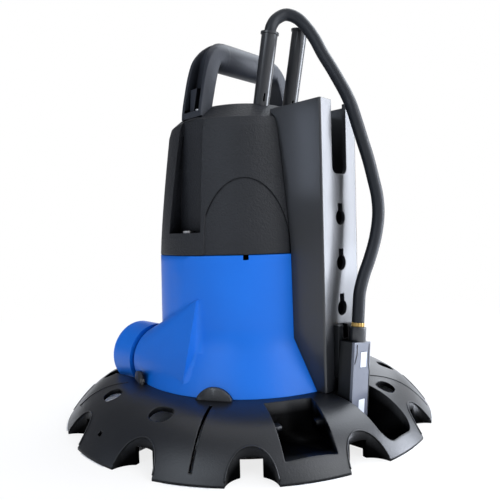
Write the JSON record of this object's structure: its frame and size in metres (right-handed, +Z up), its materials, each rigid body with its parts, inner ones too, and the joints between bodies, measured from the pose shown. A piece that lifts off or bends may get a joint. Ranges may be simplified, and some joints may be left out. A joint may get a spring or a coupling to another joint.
{
  "type": "submersible pump",
  "caption": "Submersible pump on a wide scalloped skirt, with a carrying handle, a side discharge and a level sensor hung on a keyhole tower.",
  "frame": {"origin": "on the pump axis at the ground, the middle of the underside of the skirt", "axes": "+Z up along the motor shaft; +X towards the sensor tower and the sensor; the discharge points along -X on the -Y side; the handle lies along Y"},
  "size_m": [0.3, 0.3, 0.3195],
  "materials": {
    "skirt_plastic": "satin moulded black",
    "blue_plastic": "satin moulded blue with a fine texture",
    "motor_plastic": "fine matte texture",
    "gloss_black_plastic": "semi-gloss moulded black",
    "stainless_steel": "turned",
    "impeller_plastic": "moulded",
    "seal_rubber": "smooth",
    "cast_aluminium": "cast",
    "lamination_steel": "stacked sheet",
    "copper_wire": "enamelled copper",
    "capacitor_plastic": "smooth",
    "circuit_board": "lacquered",
    "cable_rubber": "smooth sheath with a soft sheen",
    "brass": "turned",
    "sensor_window_plastic": "smoky and polished",
    "sensor_pad_plastic": "pale and polished"
  },
  "bodies": {
    "pump": {"skirt_base": "skirt_plastic", "intake_screen": "skirt_plastic", "skirt_screws": "stainless_steel", "pump_housing": "blue_plastic", "volute_cover": "skirt_plastic", "shaft_seal": "seal_rubber", "seal_plate": "cast_aluminium", "housing_o_ring": "seal_rubber", "lower_bearing": "stainless_steel", "lower_end_bell": "cast_aluminium", "stator_core": "lamination_steel", "stator_windings": "copper_wire", "motor_can": "cast_aluminium", "upper_end_bell": "cast_aluminium", "upper_bearing": "stainless_steel", "run_capacitor": "capacitor_plastic", "control_board": "circuit_board", "motor_housing": "motor_plastic", "housing_screws": "stainless_steel", "handle": "gloss_black_plastic", "handle_screws": "stainless_steel", "sensor_tower": "gloss_black_plastic", "tower_screws": "stainless_steel", "mains_cable_sleeve": "gloss_black_plastic", "sensor_cable_sleeve": "gloss_black_plastic", "sensor_cable": "cable_rubber"},
    "rotor": {"impeller": "impeller_plastic", "impeller_nut": "stainless_steel", "pump_shaft": "stainless_steel", "rotor_core": "lamination_steel"},
    "sensor": {"cable_ring": "brass", "gland_nut": "gloss_black_plastic", "sensor_body": "gloss_black_plastic", "sensor_board": "circuit_board", "sensor_cover": "sensor_window_plastic", "sensor_pads": "sensor_pad_plastic", "sensor_bracket": "gloss_black_plastic"}
  },
  "joints": [
    {"name": "rotor_spin", "type": "hinge", "parent": "pump", "child": "rotor", "pos_m": [0, 0, 0.12], "axis": [0, 0, 1], "continuous": true},
    {"name": "sensor_slide", "type": "slide", "parent": "pump", "child": "sensor", "axis": [0, 0, 1], "range_m": [-0.0072, 0], "deforming": ["sensor_cable"]}
  ]
}
